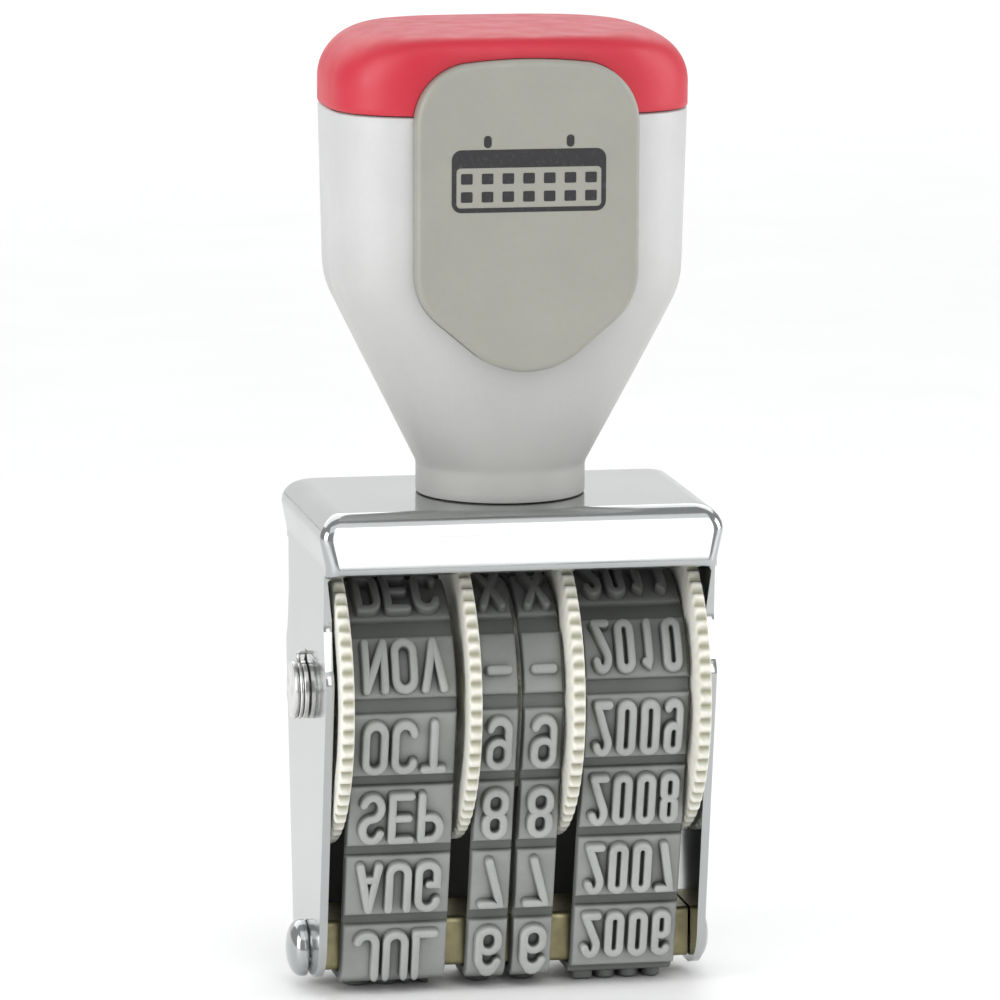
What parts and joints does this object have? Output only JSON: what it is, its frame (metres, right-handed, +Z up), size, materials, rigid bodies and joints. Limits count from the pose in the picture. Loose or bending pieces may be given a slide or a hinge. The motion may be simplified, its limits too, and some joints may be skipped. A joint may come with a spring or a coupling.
{
  "type": "band date stamp",
  "caption": "Manual date stamp: moulded handle with a coloured cap on a folded steel frame, whose serrated thumb wheels turn rubber type bands round a platen bar.",
  "frame": {"origin": "on the printing plane, under the middle of the stamp", "axes": "+Z up the handle, +X to the right as the user reads the wheels, +Y away from the user"},
  "size_m": [0.0318, 0.0228, 0.0708],
  "materials": {
    "body_plastic": "fine satin texture, cool light grey",
    "cap_plastic": "satin red with a softly polished edge",
    "plaque_plastic": "fine matt texture, warm grey",
    "wheel_plastic": "moulded cream-white, slightly waxy",
    "band_rubber": "soft matt mid-grey vulcanised rubber",
    "chromed_steel": "bright plated sheet with faint handling marks",
    "steel": "bright turned steel",
    "brass": "drawn brass, lightly dulled"
  },
  "bodies": {
    "stamp_body": {"handle_body": "body_plastic", "handle_cap": "cap_plastic", "front_plaque": "plaque_plastic", "rear_plaque": "plaque_plastic", "handle_screw": "steel", "screw_washer": "steel", "frame": "chromed_steel", "wheel_axle": "steel", "axle_end_cap": "steel", "axle_clip_left": "steel", "axle_clip_right": "steel", "month_band": "band_rubber", "day_tens_band": "band_rubber", "day_units_band": "band_rubber", "year_band": "band_rubber", "platen_bar": "brass", "platen_rivet_left": "chromed_steel", "platen_rivet_right": "chromed_steel"},
    "month_dial": {"month_wheel": "wheel_plastic"},
    "day_tens_dial": {"day_tens_wheel": "wheel_plastic"},
    "day_units_dial": {"day_units_wheel": "wheel_plastic"},
    "year_dial": {"year_wheel": "wheel_plastic"}
  },
  "joints": [
    {"name": "month_wheel_spin", "type": "hinge", "parent": "stamp_body", "child": "month_dial", "pos_m": [0, 0, 0.02215], "axis": [1, 0, 0], "continuous": true},
    {"name": "day_tens_wheel_spin", "type": "hinge", "parent": "stamp_body", "child": "day_tens_dial", "pos_m": [0, 0, 0.02215], "axis": [1, 0, 0], "continuous": true},
    {"name": "day_units_wheel_spin", "type": "hinge", "parent": "stamp_body", "child": "day_units_dial", "pos_m": [0, 0, 0.02215], "axis": [1, 0, 0], "continuous": true},
    {"name": "year_wheel_spin", "type": "hinge", "parent": "stamp_body", "child": "year_dial", "pos_m": [0, 0, 0.02215], "axis": [1, 0, 0], "continuous": true}
  ]
}
